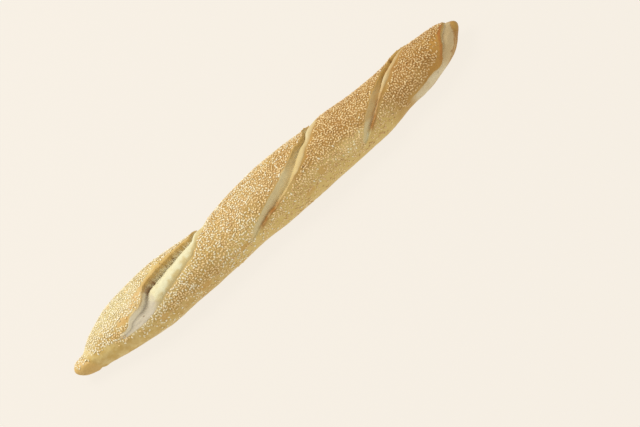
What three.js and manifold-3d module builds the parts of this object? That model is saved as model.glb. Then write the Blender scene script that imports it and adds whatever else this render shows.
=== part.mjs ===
// A long hand-shaped loaf with sesame seeds: one body of crust and crumb, with four
// slanting cuts that opened in the oven, a flat underside, and seeds baked onto the crust.
//
// Millimetres, +Z up. X runs along the loaf. The origin is on the surface that the loaf
// rests on, under the middle of its box. Angles run round the girth in degrees, from the
// top (0) to the far side (+90, towards +Y) and to the near side (-90).

import * as THREE from 'three';
import { mergeVertices } from 'three/addons/utils/BufferGeometryUtils.js';
import Module from 'manifold-3d';

// The body

const LENGTH = 540;
const TIP_ROUND = 9; // length over which each tip rounds off
const CROWN = 0.88; // height above the waist, as a share of the half width
const WAIST = 0.58; // height of the widest place off the surface, as such a share
const BELLY = 0.63; // depth below the waist; what would reach under the surface is flat
const UPPER_POWER = 2.1; // fullness of the section above its waist, where 2 is an ellipse
const LOWER_POWER = 2.5; // and below it
const TIP_LIFT = 13; // how far the tips curl up off the surface
const LIFT_FROM = 190; // distance from the middle at which they start to
const FLAT_REACH = 129; // how far from the middle the loaf lies flat on the surface
const FLAT_HALF = 9; // half width of that flat spot at its middle
const FLAT_FLARE = 3; // how much more that is at its ends
const FLAT_SHARES = [0.15, 0.6]; // its least and most half width, over the section's
const UNDER_RISE = 0.04; // slope at which the underside leaves the surface beyond them

// x, half width, and how far the section's middle lies to the far side
const STATIONS = [
  [-270, 7, 0],
  [-251, 12.2, -1.3],
  [-244, 15.1, 0.8],
  [-232, 20.2, 2.8],
  [-205, 28.1, 3.1],
  [-172, 32.6, 1.1],
  [-130, 33.4, -0.7],
  [-69, 31, -2.6],
  [-20, 33.4, 0.5],
  [30, 35.4, -1.6],
  [85, 32.9, -1.7],
  [135, 30.4, -3.2],
  [177, 27.4, 0.6],
  [203, 27.6, 2.6],
  [233, 22.1, 5.3],
  [250, 17, 7],
  [257, 12.8, 9],
  [263, 8.5, 11.3],
  [270, 7, 13],
];

// The cuts. Each row of a path is x, angle of the cut's middle, half width round the girth,
// and depth. Across the cut its lowest line lies at the share `valley` of the half width,
// from the first value to the second while x passes `turn`. The far lip lifts into an ear
// of height `farEar` and the near lip rises by `nearEar`. The dough that pushed out of the
// near wall stands `bulge` proud of it: it rises between the first two values of
// `bulgeSpan` and is gone again between the last two.
const CUTS = [
  {
    path: [
      [-226, -50.5, 2.4, 0],
      [-209, -53, 2.8, 0.6],
      [-198, -51.5, 4, 1.6],
      [-188, -44, 7.6, 3.4],
      [-171, -39, 9.5, 6],
      [-157, -25, 13.8, 8.5],
      [-140, -16.5, 13.5, 10],
      [-120, -7, 12, 9.5],
      [-101, 3, 10.8, 8.5],
      [-89, 11, 8.5, 7.5],
      [-85, 19, 8.9, 6.5],
      [-80, 34, 12.5, 6],
      [-74, 54, 19, 6],
      [-67, 66.5, 18.3, 5],
      [-50, 104, 1, 0],
    ],
    turn: [-200, -150],
    valley: [0, 0.66],
    farEar: 2,
    nearEar: 0.6,
    bulge: 4.2,
    bulgeSpan: [-166, -148, -86, -70],
  },
  {
    path: [
      [-46, -78, 1, 0],
      [-22, -60.5, 5.1, 2],
      [10, -41, 7, 4.5],
      [45, -16, 8.5, 5.5],
      [56, -5.5, 7.9, 5.2],
      [66, 4, 6.3, 5],
      [71, 10, 6.7, 4.8],
      [75, 24.5, 12.2, 4.6],
      [79, 37.5, 16, 4.2],
      [84, 48, 16.7, 3.6],
      [90, 57.5, 14.7, 2.8],
      [104, 88, 2.3, 0],
    ],
    turn: [22, 58],
    valley: [-0.55, 0.45],
    farEar: 1.7,
    nearEar: 2,
    bulge: 1.6,
    bulgeSpan: [26, 46, 92, 106],
  },
  {
    path: [
      [104, -87, 1, 0],
      [118, -68, 4, 1.4],
      [132, -47, 6.9, 3],
      [150, -21.5, 6.3, 4],
      [166, -4.5, 5.9, 4.2],
      [182, 16.5, 6.7, 4.5],
      [198, 34, 6.5, 4.2],
      [226, 70, 1, 0],
    ],
    turn: [148, 174],
    valley: [-0.4, 0.5],
    farEar: 1.3,
    nearEar: 1.6,
    bulge: 2.2,
    bulgeSpan: [152, 172, 226, 236],
  },
  {
    path: [
      [166, -94.5, 1, 0],
      [180, -93.5, 5.6, 0.8],
      [200, -94, 8.9, 1.4],
      [214, -92.5, 9.1, 1.6],
      [228, -94.5, 6.9, 1.8],
      [239, -75, 8.1, 2.2],
      [248, -50, 11.4, 2.2],
      [256, -27, 10.3, 2],
      [260, 7.5, 9.3, 1.7],
      [263, 65, 6.5, 1.2],
      [268, 90, 1, 0],
    ],
    turn: [100, 110],
    valley: [0.8, 0.8],
    farEar: 1.1,
    nearEar: 0,
    bulge: 0.6,
    bulgeSpan: [170, 190, 268, 278],
  },
];
const EAR_REACH = 6; // how fast a lip falls back to the crust beside it
const LIP_ROUND = 2.2; // half width of the rolled edge of a lip
const LEAN_IN = 0.9; // how far a far lip leans over the cut, over its height
const LEAN_OUT = 0.6; // how far a near lip leans back over the cut, over its height
const GIRTH_SHARE = 0.97; // mean radius of the section, over its half width
const TIP_FADE = 10; // length from each tip over which the relief fades out

// Slow unevenness of hand-shaped dough: height, pitch along X, waves round the girth, phase
const LUMPS = [
  { height: 0.45, pitch: 21, waves: 2, phase: 0.3 },
  { height: 0.35, pitch: 12.5, waves: -3, phase: 1.9 },
  { height: 0.2, pitch: 8, waves: 4, phase: 4 },
];

// The facets

const RING_STEP = 5.9;
const CLOSE_STEP = 3.4; // step where a cut runs round the girth rather than along it
const CLOSE_STRETCHES = [
  [-94, -44],
  [62, 98],
  [232, 262],
];
const TIP_RINGS = [0.3, 1.2, 2.8, 5.2, 8.5]; // distances of the first rings from a tip
const UPPER_REACH = 112; // degrees to each side of the top that have the narrow columns
const UPPER_COLUMNS = 24;
const SHALLOW = 0.4; // a cut less deep than this has no columns of its own

// The seeds that are large enough to feel, out of the thousands on such a crust

const SEED_LENGTH = 3.3;
const SEED_WIDTH = 2.1;
const SEED_THICKNESS = 1.3;
const SEED_TAPER = 0.35; // how much narrower the pointed end is
const SEED_SUNK = 0.15; // how far its middle lies under the crust
const SEED_SIDES = 5;
const SEED_BANDS = 3;
const SEED_COUNT = 120;
const SEED_TRIES = 14; // spots tried for each seed, of which the loneliest is taken
const SEED_ZONE = { far: 84, near: -72, left: -258, right: 250 };
const SEED_CLEARANCE = 5.5; // from the edge of a cut
const RANDOM_SEED = 20241;

const CRUST_COLOUR = '#d3ac6c';

const degrees = (radians) => (radians * 180) / Math.PI;
const radians = (angle) => (angle * Math.PI) / 180;
const clamp = (value) => Math.min(Math.max(value, 0), 1);
const mix = (a, b, share) => a + (b - a) * share;

function smoothstep(from, to, value) {
  const share = clamp((value - from) / (to - from));
  return share * share * (3 - 2 * share);
}

// A smooth curve through one column of a table whose first column is x.
function along(rows, x, column) {
  const last = rows.length - 1;
  const slope = (i) => {
    const a = rows[Math.max(i - 1, 0)];
    const b = rows[Math.min(i + 1, last)];
    return (b[column] - a[column]) / (b[0] - a[0]);
  };
  let i = 0;
  while (i < last - 1 && x > rows[i + 1][0]) {
    i += 1;
  }
  const span = rows[i + 1][0] - rows[i][0];
  const t = clamp((x - rows[i][0]) / span);
  const start = (2 * t ** 3 - 3 * t ** 2 + 1) * rows[i][column];
  const end = (3 * t ** 2 - 2 * t ** 3) * rows[i + 1][column];
  const leaving = (t ** 3 - 2 * t ** 2 + t) * span * slope(i);
  const arriving = (t ** 3 - t ** 2) * span * slope(i + 1);
  return start + end + leaving + arriving;
}

const signedPower = (value, power) => Math.sign(value) * Math.abs(value) ** power;

// The section at x: its half width, its middle across, and the height of its waist.
function section(x) {
  const fromTip = clamp((LENGTH / 2 - Math.abs(x)) / TIP_ROUND);
  const cap = Math.sqrt(1 - (1 - fromTip) ** 2);
  const half = along(STATIONS, x, 1);
  const curl = clamp((Math.abs(x) - LIFT_FROM) / (LENGTH / 2 - LIFT_FROM));
  return {
    half: half * cap,
    middle: along(STATIONS, x, 2),
    waist: TIP_LIFT * curl ** 2 + WAIST * half,
  };
}

// A point of the plain body before it was cut, in the plane of the section at x.
function plainPoint(x, angle) {
  const { half, middle, waist } = section(x);
  const across = Math.sin(radians(angle));
  const up = Math.cos(radians(angle));
  const power = 2 / (up > 0 ? UPPER_POWER : LOWER_POWER);
  const rise = (up > 0 ? CROWN : BELLY) * half;
  return new THREE.Vector2(
    middle + half * signedPower(across, power),
    waist + rise * signedPower(up, power),
  );
}

const girthRadius = (x) => GIRTH_SHARE * along(STATIONS, x, 1);

// What a cut is like at x, or null where the cut isn't.
function cutAt(cut, x) {
  const { path } = cut;
  if (x <= path[0][0] || x >= path[path.length - 1][0]) {
    return null;
  }
  const turned = smoothstep(...cut.turn, x);
  const depth = Math.max(along(path, x, 3), 0);
  const share = depth / Math.max(...path.map((row) => row[3]));
  const [rises, risen, falls, fallen] = cut.bulgeSpan;
  const pushed = smoothstep(rises, risen, x) * (1 - smoothstep(falls, fallen, x));
  return {
    angle: along(path, x, 1),
    halfWidth: Math.max(along(path, x, 2), 0.6),
    depth,
    turned,
    valley: mix(...cut.valley, turned),
    farEar: cut.farEar * share * mix(0.3, 1, turned),
    nearEar: cut.nearEar * share * mix(1, 0.3, turned),
    bulge: cut.bulge * share * pushed,
  };
}

// How far an angle is from the middle of the cut, in half widths: -1 and 1 are its lips.
function acrossCut(here, x, angle) {
  return (radians(angle - here.angle) * girthRadius(x)) / here.halfWidth;
}

// Height of the surface inside a cut. The walls are steep under the lip that lifted and
// slope gently on the other side.
function wallHeight(here, place) {
  if (place > here.valley) {
    const climb = ((place - here.valley) / (1 - here.valley)) ** mix(0.9, 2.2, here.turned);
    return here.depth * (climb - 1) + here.farEar * climb ** 3;
  }
  const way = (here.valley - place) / (1 + here.valley);
  const climb = way ** mix(1.8, 0.55, here.turned);
  const swell = here.bulge * Math.sin(Math.PI * way) ** 0.8;
  return here.depth * (climb - 1) + here.nearEar * climb ** 3 + swell;
}

// Relief of all cuts and lumps: how far out, and how far round towards the far side.
function relief(x, angle) {
  let out = 0;
  let round = 0;
  for (const cut of CUTS) {
    const here = cutAt(cut, x);
    if (here) {
      const place = acrossCut(here, x, angle);
      const outside = (Math.abs(place) - 1) * here.halfWidth;
      const ear = place > 0 ? here.farEar : here.nearEar;
      out += outside < 0 ? wallHeight(here, place) : ear * Math.exp(-outside / EAR_REACH);
      const toFarLip = ((place - 1) * here.halfWidth) / LIP_ROUND;
      const toNearLip = ((place + 1) * here.halfWidth) / LIP_ROUND;
      round -= LEAN_IN * here.farEar * Math.exp(-(toFarLip ** 2));
      round += LEAN_OUT * here.nearEar * Math.exp(-(toNearLip ** 2));
    }
  }
  for (const { height, pitch, waves, phase } of LUMPS) {
    out += height * Math.sin(x / pitch + waves * radians(angle) + phase);
  }
  return { out, round };
}

// The directions round the girth and out of the plain body, in the plane of the section.
function directions(x, angle) {
  const nudge = 0.05;
  const ahead = plainPoint(x, angle + nudge);
  const round = ahead.sub(plainPoint(x, angle - nudge)).normalize();
  return { round, out: new THREE.Vector2(-round.y, round.x) };
}

// Height of the underside at x: on the surface in the middle, and off it towards the tips.
const undersideHeight = (x) => UNDER_RISE * Math.max(Math.abs(x) - FLAT_REACH, 0);

// A point of the finished surface. The underside is pressed flat where it would go lower.
function surfacePoint(x, angle) {
  const share = clamp((LENGTH / 2 - Math.abs(x)) / TIP_FADE);
  const offset = relief(x, angle);
  const way = directions(x, angle);
  const point = plainPoint(x, angle);
  point.addScaledVector(way.out, offset.out * share);
  point.addScaledVector(way.round, offset.round * share);
  return new THREE.Vector3(x, point.x, Math.max(point.y, undersideHeight(x)));
}

// Where the rings of points stand along the loaf, closer together at the tips.
function ringPlaces() {
  const tip = LENGTH / 2;
  const places = TIP_RINGS.map((distance) => distance - tip);
  const last = -places[places.length - 1] - CLOSE_STEP / 2;
  const stepAt = (x) => {
    const close = CLOSE_STRETCHES.some(([from, to]) => x > from && x < to);
    return close ? CLOSE_STEP : RING_STEP;
  };
  let x = places[places.length - 1] + RING_STEP / 2;
  while (x < last) {
    places.push(x);
    x += stepAt(x);
  }
  places.push(...TIP_RINGS.toReversed().map((distance) => tip - distance));
  return places;
}

// The angle at which the flat spot ends, on the far side (1) or on the near side (-1).
function flatEdge(x, sign) {
  const { half, middle } = section(x);
  const flare = FLAT_FLARE * Math.min(Math.abs(x) / FLAT_REACH, 1) ** 2;
  const wanted = (FLAT_HALF + flare - sign * middle) / half;
  const share = Math.min(Math.max(wanted, FLAT_SHARES[0]), FLAT_SHARES[1]);
  return 180 - sign * degrees(Math.asin(share ** (LOWER_POWER / 2)));
}

// The angles of the columns before any moves onto a cut. Below, two of them are the edges
// of the flat spot.
function evenAngles(x) {
  const angles = [];
  for (let i = 0; i <= UPPER_COLUMNS; i += 1) {
    angles.push(mix(-UPPER_REACH, UPPER_REACH, i / UPPER_COLUMNS));
  }
  const far = flatEdge(x, 1);
  const near = flatEdge(x, -1);
  angles.push((UPPER_REACH + far) / 2, far, (far + near) / 2, near);
  angles.push((near + 360 - UPPER_REACH) / 2);
  return angles;
}

// The angles of both lips and of the lowest line of each cut at x.
function cutLines(x) {
  const lines = [];
  for (const cut of CUTS) {
    const here = cutAt(cut, x);
    if (here && here.depth > SHALLOW) {
      const reach = degrees(here.halfWidth / girthRadius(x));
      lines.push(here.angle - reach, here.angle + here.valley * reach, here.angle + reach);
    }
  }
  const inReach = lines.filter((line) => Math.abs(line) < UPPER_REACH - 2);
  return inReach.sort((a, b) => a - b);
}

// The angles of one ring's points. The nearest column moves onto each line of a cut, so
// that the lips stay sharp with few facets.
function ringAngles(x) {
  const angles = evenAngles(x);
  let next = 1;
  for (const line of cutLines(x)) {
    let nearest = next;
    for (let i = next; i < UPPER_COLUMNS; i += 1) {
      if (Math.abs(angles[i] - line) < Math.abs(angles[nearest] - line)) {
        nearest = i;
      }
    }
    angles[nearest] = line;
    next = nearest + 1;
  }
  return angles;
}

function geometryFrom(positions, index) {
  const geometry = new THREE.BufferGeometry();
  geometry.setAttribute('position', new THREE.Float32BufferAttribute(positions, 3));
  geometry.setIndex(new THREE.Uint32BufferAttribute(index, 1));
  return geometry;
}

// The closed skin of the loaf: rings of points with a point at each tip.
function bodyGeometry() {
  const tip = LENGTH / 2;
  const places = ringPlaces();
  const columns = ringAngles(places[0]).length;
  const points = places.flatMap((x) => ringAngles(x).map((angle) => surfacePoint(x, angle)));
  const leftTip = points.length;
  const rightTip = leftTip + 1;
  for (const x of [-tip, tip]) {
    const { middle, waist } = section(x);
    points.push(new THREE.Vector3(x, middle, waist));
  }
  const at = (ring, column) => ring * columns + (column % columns);
  const index = [];
  for (let column = 0; column < columns; column += 1) {
    index.push(leftTip, at(0, column), at(0, column + 1));
    for (let ring = 0; ring < places.length - 1; ring += 1) {
      const corner = at(ring, column);
      const opposite = at(ring + 1, column + 1);
      index.push(corner, at(ring + 1, column), opposite);
      index.push(corner, opposite, at(ring, column + 1));
    }
    index.push(rightTip, at(places.length - 1, column + 1), at(places.length - 1, column));
  }
  return geometryFrom(points.flatMap((point) => point.toArray()), index);
}

// A seeded draw of numbers from 0 to 1.
function randomDraw(seed) {
  let state = seed;
  return () => {
    state = (state * 1664525 + 1013904223) % 4294967296;
    return state / 4294967296;
  };
}

// True where the crust is bare: in a cut or too close to its lips.
function isBare(x, angle) {
  return CUTS.some((cut) => {
    const here = cutAt(cut, x);
    if (!here) {
      return false;
    }
    const outside = (Math.abs(acrossCut(here, x, angle)) - 1) * here.halfWidth;
    return outside < SEED_CLEARANCE;
  });
}

// Spots for the seeds, each the loneliest of a few random ones, so that they lie evenly.
function seedSpots(random) {
  const spots = [];
  const gap = (a, b) => {
    const apart = radians(a.angle - b.angle) * girthRadius(a.x);
    return Math.hypot(a.x - b.x, apart);
  };
  while (spots.length < SEED_COUNT) {
    let best = null;
    let bestGap = -1;
    for (let i = 0; i < SEED_TRIES; i += 1) {
      const x = mix(SEED_ZONE.left, SEED_ZONE.right, random());
      const angle = mix(SEED_ZONE.near, SEED_ZONE.far, random());
      const spot = { x, angle, turn: 2 * Math.PI * random(), size: mix(0.9, 1.1, random()) };
      const nearest = Math.min(LENGTH, ...spots.map((other) => gap(spot, other)));
      if (!isBare(x, angle) && nearest > bestGap) {
        best = spot;
        bestGap = nearest;
      }
    }
    if (best) {
      spots.push(best);
    }
  }
  return spots;
}

// One drop-shaped seed, lying along X with its flat sides up and down.
function seedGeometry() {
  const geometry = new THREE.SphereGeometry(0.5, SEED_SIDES, SEED_BANDS);
  geometry.deleteAttribute('normal');
  geometry.deleteAttribute('uv');
  geometry.rotateZ(Math.PI / 2);
  const position = geometry.getAttribute('position');
  for (let i = 0; i < position.count; i += 1) {
    const taper = 1 - SEED_TAPER * position.getX(i);
    position.setY(i, position.getY(i) * taper);
    position.setZ(i, position.getZ(i) * taper);
  }
  geometry.scale(SEED_LENGTH, SEED_WIDTH, SEED_THICKNESS);
  return mergeVertices(geometry);
}

// Lays the seed flat on the crust at its spot, a little more than half sunk in.
function placedSeed(seed, { x, angle, turn, size }) {
  const step = 1;
  const here = surfacePoint(x, angle);
  const forward = surfacePoint(x + step, angle).sub(surfacePoint(x - step, angle)).normalize();
  const round = surfacePoint(x, angle + step).sub(surfacePoint(x, angle - step));
  const out = new THREE.Vector3().crossVectors(forward, round).normalize();
  const side = new THREE.Vector3().crossVectors(out, forward);
  here.addScaledVector(out, -SEED_SUNK);
  const placing = new THREE.Matrix4().makeBasis(forward, side, out).setPosition(here);
  placing.multiply(new THREE.Matrix4().makeRotationZ(turn));
  placing.scale(new THREE.Vector3(size, size, size));
  return seed.clone().applyMatrix4(placing);
}

const wasm = await Module();
wasm.setup();

function solidFrom(geometry) {
  const mesh = new wasm.Mesh({
    numProp: 3,
    vertProperties: new Float32Array(geometry.getAttribute('position').array),
    triVerts: new Uint32Array(geometry.getIndex().array),
  });
  return new wasm.Manifold(mesh);
}

// The body with its seeds joined to it, moved so that its box stands on the origin.
function loafGeometry() {
  const seed = seedGeometry();
  let solid = solidFrom(bodyGeometry());
  for (const spot of seedSpots(randomDraw(RANDOM_SEED))) {
    solid = solid.add(solidFrom(placedSeed(seed, spot)));
  }
  const mesh = solid.getMesh();
  const geometry = geometryFrom(mesh.vertProperties, mesh.triVerts);
  geometry.computeBoundingBox();
  const { min, max } = geometry.boundingBox;
  geometry.translate(-(min.x + max.x) / 2, -(min.y + max.y) / 2, -min.z);
  geometry.computeVertexNormals();
  return geometry;
}

function loaf() {
  const material = new THREE.MeshStandardMaterial({
    color: CRUST_COLOUR,
    roughness: 0.75,
    metalness: 0,
  });
  const mesh = new THREE.Mesh(loafGeometry(), material);
  mesh.name = 'loaf';
  return mesh;
}

const group = new THREE.Group();
group.add(loaf());

export default group;
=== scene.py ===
"""A long hand-shaped loaf with sesame seeds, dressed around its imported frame.

The crust is one fine mesh with the form of the solid it stands for: the same stations,
cuts and lumps, with torn lips, crumb, pores and a wrinkled crust added. The seeds are true
to size and lie on that crust. The shape is worked out in millimetres, as the solid is, and
turned into metres where the meshes are made. Angles run round the girth in degrees, from
the top (0) to the far side (+90, towards +Y) and to the near side (-90).
"""

import math

import bpy
import numpy as np
from mathutils import Matrix, Vector


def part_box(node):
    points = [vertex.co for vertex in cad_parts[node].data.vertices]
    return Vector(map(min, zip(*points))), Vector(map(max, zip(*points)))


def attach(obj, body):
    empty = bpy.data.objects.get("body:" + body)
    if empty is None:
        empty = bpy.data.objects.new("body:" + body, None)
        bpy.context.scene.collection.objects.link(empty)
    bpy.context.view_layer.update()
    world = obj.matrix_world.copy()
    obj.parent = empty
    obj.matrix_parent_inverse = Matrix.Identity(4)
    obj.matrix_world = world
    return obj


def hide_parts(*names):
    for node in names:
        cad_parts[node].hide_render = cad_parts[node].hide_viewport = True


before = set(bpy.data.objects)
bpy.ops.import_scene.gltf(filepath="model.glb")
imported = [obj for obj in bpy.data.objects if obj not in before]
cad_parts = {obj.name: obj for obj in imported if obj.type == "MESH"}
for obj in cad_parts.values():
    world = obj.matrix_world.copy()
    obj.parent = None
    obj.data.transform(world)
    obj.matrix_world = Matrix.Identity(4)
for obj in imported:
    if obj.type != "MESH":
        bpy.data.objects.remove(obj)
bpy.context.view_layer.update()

MM = 0.001

# The body, as in the part's own source

LENGTH = 540.0
TIP_ROUND = 9.0  # length over which each tip rounds off
CROWN = 0.88  # height above the waist, as a share of the half width
WAIST = 0.58  # height of the widest place off the surface, as such a share
BELLY = 0.63  # depth below the waist; what would reach under the surface is flat
UPPER_POWER = 2.1  # fullness of the section above its waist, where 2 is an ellipse
LOWER_POWER = 2.5  # and below it
TIP_LIFT = 13.0  # how far the tips curl up off the surface
LIFT_FROM = 190.0  # distance from the middle at which they start to
FLAT_REACH = 129.0  # how far from the middle the loaf lies flat on the surface
UNDER_RISE = 0.04  # slope at which the underside leaves the surface beyond that

# x, half width, and how far the section's middle lies to the far side
STATIONS = (
    (-270, 7, 0),
    (-251, 12.2, -1.3),
    (-244, 15.1, 0.8),
    (-232, 20.2, 2.8),
    (-205, 28.1, 3.1),
    (-172, 32.6, 1.1),
    (-130, 33.4, -0.7),
    (-69, 31, -2.6),
    (-20, 33.4, 0.5),
    (30, 35.4, -1.6),
    (85, 32.9, -1.7),
    (135, 30.4, -3.2),
    (177, 27.4, 0.6),
    (203, 27.6, 2.6),
    (233, 22.1, 5.3),
    (250, 17, 7),
    (257, 12.8, 9),
    (263, 8.5, 11.3),
    (270, 7, 13),
)

# The cuts. Each row of a path is x, angle of the cut's middle, half width round the girth,
# and depth. Across the cut its lowest line lies at the share "valley" of the half width,
# from the first value to the second while x passes "turn". The far lip lifts into an ear
# of height "far_ear" and the near lip rises by "near_ear". The dough that pushed out of the
# near wall stands "bulge" proud of it: it rises between the first two values of
# "bulge_span" and is gone again between the last two. No seeds lie within "bare_edge" of its
# near lip and its far lip. The crust is browned over "brown_reach" beside the near lip, and
# over "brown_inside" within it, most of all in "brown_span". The far lip is golden brown over
# the first value of "rim_width" under it and over the second beside it.
WIDE_CUT = {
    "path": (
        (-226, -50.5, 2.4, 0),
        (-209, -53, 2.8, 0.6),
        (-198, -51.5, 4, 1.6),
        (-188, -44, 7.6, 3.4),
        (-171, -39, 9.5, 6),
        (-157, -25, 13.8, 8.5),
        (-140, -16.5, 13.5, 10),
        (-120, -7, 12, 9.5),
        (-101, 3, 10.8, 8.5),
        (-89, 11, 8.5, 7.5),
        (-85, 19, 8.9, 6.5),
        (-80, 34, 12.5, 6),
        (-74, 54, 19, 6),
        (-67, 66.5, 18.3, 5),
        (-50, 104, 1, 0),
    ),
    "turn": (-200, -150),
    "valley": (0, 0.66),
    "far_ear": 2,
    "near_ear": 0.6,
    "bulge": 4.2,
    "bare_edge": (1.4, 4.2),
    "brown_inside": 1.0,
    "brown_reach": 1.6,
    "brown_span": (-150, -146),
    "bulge_span": (-166, -148, -86, -70),
    "rim_width": (0.5, 3.4),
}
MIDDLE_CUT = {
    "path": (
        (-46, -78, 1, 0),
        (-22, -60.5, 5.1, 2),
        (10, -41, 7, 4.5),
        (45, -16, 8.5, 5.5),
        (56, -5.5, 7.9, 5.2),
        (66, 4, 6.3, 5),
        (71, 10, 6.7, 4.8),
        (75, 24.5, 12.2, 4.6),
        (79, 37.5, 16, 4.2),
        (84, 48, 16.7, 3.6),
        (90, 57.5, 14.7, 2.8),
        (104, 88, 2.3, 0),
    ),
    "turn": (22, 58),
    "valley": (-0.55, 0.45),
    "far_ear": 1.7,
    "near_ear": 2,
    "bulge": 1.6,
    "bare_edge": (2.6, 1.2),
    "brown_inside": 5.6,
    "brown_reach": 2.2,
    "brown_span": (-31, 5),
    "bulge_span": (26, 46, 92, 106),
    "rim_width": (1.1, 0.8),
}
RIGHT_CUT = {
    "path": (
        (104, -87, 1, 0),
        (118, -68, 4, 1.4),
        (132, -47, 6.9, 3),
        (150, -21.5, 6.3, 4),
        (166, -4.5, 5.9, 4.2),
        (182, 16.5, 6.7, 4.5),
        (198, 34, 6.5, 4.2),
        (226, 70, 1, 0),
    ),
    "turn": (148, 174),
    "valley": (-0.4, 0.5),
    "far_ear": 1.3,
    "near_ear": 1.6,
    "bulge": 2.2,
    "bare_edge": (3.6, 1.4),
    "brown_inside": 8.5,
    "brown_reach": 2.6,
    "brown_span": (121, 152),
    "bulge_span": (152, 172, 226, 236),
    "rim_width": (1.1, 0.8),
}
END_CUT = {
    "path": (
        (166, -94.5, 1, 0),
        (180, -93.5, 5.6, 0.8),
        (200, -94, 8.9, 1.4),
        (214, -92.5, 9.1, 1.6),
        (228, -94.5, 6.9, 1.8),
        (239, -75, 8.1, 2.2),
        (248, -50, 11.4, 2.2),
        (256, -27, 10.3, 2),
        (260, 7.5, 9.3, 1.7),
        (263, 65, 6.5, 1.2),
        (268, 90, 1, 0),
    ),
    "turn": (100, 110),
    "valley": (0.8, 0.8),
    "far_ear": 1.1,
    "near_ear": 0,
    "bulge": 0.6,
    "bare_edge": (2.0, 3.0),
    "brown_inside": 1.0,
    "brown_reach": 1.5,
    "brown_span": (190, 270),
    "bulge_span": (170, 190, 268, 278),
    "rim_width": (1.0, 0.8),
}
CUTS = (WIDE_CUT, MIDDLE_CUT, RIGHT_CUT, END_CUT)
EAR_REACH = 6.0  # how fast a lip falls back to the crust beside it
LIP_ROUND = 2.2  # half width of the rolled edge of a lip
LEAN_IN = 0.9  # how far a far lip leans over the cut, over its height
LEAN_OUT = 0.6  # how far a near lip leans back over the cut, over its height
GIRTH_SHARE = 0.97  # mean radius of the section, over its half width
GIRTH_RADIUS = 34.0  # one radius for the whole loaf, for what is measured round its skin
TIP_FADE = 10.0  # length from each tip over which the relief fades out

# Slow unevenness of hand-shaped dough: height, pitch along X, waves round the girth, phase
LUMPS = ((0.45, 21.0, 2, 0.3), (0.35, 12.5, -3, 1.9), (0.2, 8.0, 4, 4.0))

# The fine mesh

RING_STEP = 1.0
CLOSE_STEP = 0.7
CLOSE_STRETCH = (-232.0, -56.0)  # the wide cut, which has the closer rings
TIP_STEPS = (0.15, 0.4, 0.8, 1.3, 1.9, 2.6)  # distances of the first rings from a tip
UPPER_REACH = 115.0  # degrees to each side of the top that have the narrow columns
UPPER_COLUMNS = 190
LOWER_COLUMNS = 50

# Baked marks: x, angle, radius, how deep it is sunk, and how dark it is from 0 (orange) to 1
MARKS = (
    (-256.3, 23.0, 0.9, 0.6, 0.9),
    (-157.0, -8.0, 2.6, 0.9, 0.4),
    (-153.0, -4.0, 3.2, 1.2, 0.5),
    (-147.0, -0.5, 2.8, 0.8, 0.4),
    (-114.5, 15.2, 1.1, 1.5, 1.0),
    (-128.1, 14.5, 0.7, 0.8, 0.9),
    (-176.3, -47.0, 0.7, 0.6, 0.8),
    (-4.9, 5.0, 1.5, 0.0, 0.45),
    (23.7, 11.5, 1.1, 0.2, 0.75),
    (-67.1, -35.0, 1.6, 0.0, 0.4),
    (-83.8, -17.0, 1.2, 0.0, 0.5),
    (49.8, -32.0, 1.3, 0.2, 0.7),
    (60.5, -22.5, 2.2, 0.0, 0.1),
    (84.5, -16.5, 2.0, 0.0, 0.1),
    (35.9, -42.5, 1.8, 0.0, 0.35),
    (52.4, -90.0, 1.0, 0.0, 0.6),
    (75.0, -96.0, 1.2, 0.0, 0.8),
    (190.5, 39.0, 2.0, 0.0, 0.55),
    (245.2, -84.0, 1.8, 0.0, 0.4),
)

# The seeds, true to size

SEED_LENGTH = 2.9
SEED_WIDTH = 1.75
SEED_THICKNESS = 0.85
SEED_TAPER = 0.42  # how much narrower the pointed end is
SEED_SIDES = 7
SEED_BANDS = 5
SEED_TILT = 0.16  # how unevenly they lie
SEED_LIFT = 0.22  # height of a seed's middle above the crust
SEED_GAP = 2.1  # least distance between the middles of two seeds
SEED_TRIES = 80000
# Painted shade: seeds on the near side, which lies in shade, are made more golden by this much
SEED_PAINTED_SHADE = 0.3  # how much more golden the seeds on the near side are
LOW_PALENESS = 0.2  # how much paler again they are low on that side
RANDOM_SEED = 7

# Torn threads of dough along the top of the ridge in the wide cut

THREAD_COUNT = 130
THREAD_SPAN = (-150.0, -88.0)
THREAD_STEPS = 5

# Picture of the photograph's view: pixels of its 640 by 427 frame

PHOTO_WIDTH = 640
PHOTO_CENTRE = (320.0, 213.5)
LOAF_CENTRE = (267.8, 199.2)  # pixel that the middle of the loaf is at
LOAF_SLANT = 41.55  # degrees of the loaf's line above the picture's lower edge
MM_PER_PIXEL = 1.041
CAMERA_DROP = 50.0  # degrees that the camera looks down
CAMERA_DISTANCE = 5000.0
SENSOR_WIDTH = 36.0
LOAF_MIDDLE_HEIGHT = 21.0


def srgb(red, green, blue):
    """A colour as the eye reads it, 0 to 255, turned into the renderer's linear values."""
    shares = np.array([red, green, blue]) / 255.0
    linear = np.where(shares <= 0.04045, shares / 12.92, ((shares + 0.055) / 1.055) ** 2.4)
    return (*linear.tolist(), 1.0)


# Colours of the crust, of the dough in the cuts, and of the seeds

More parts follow.
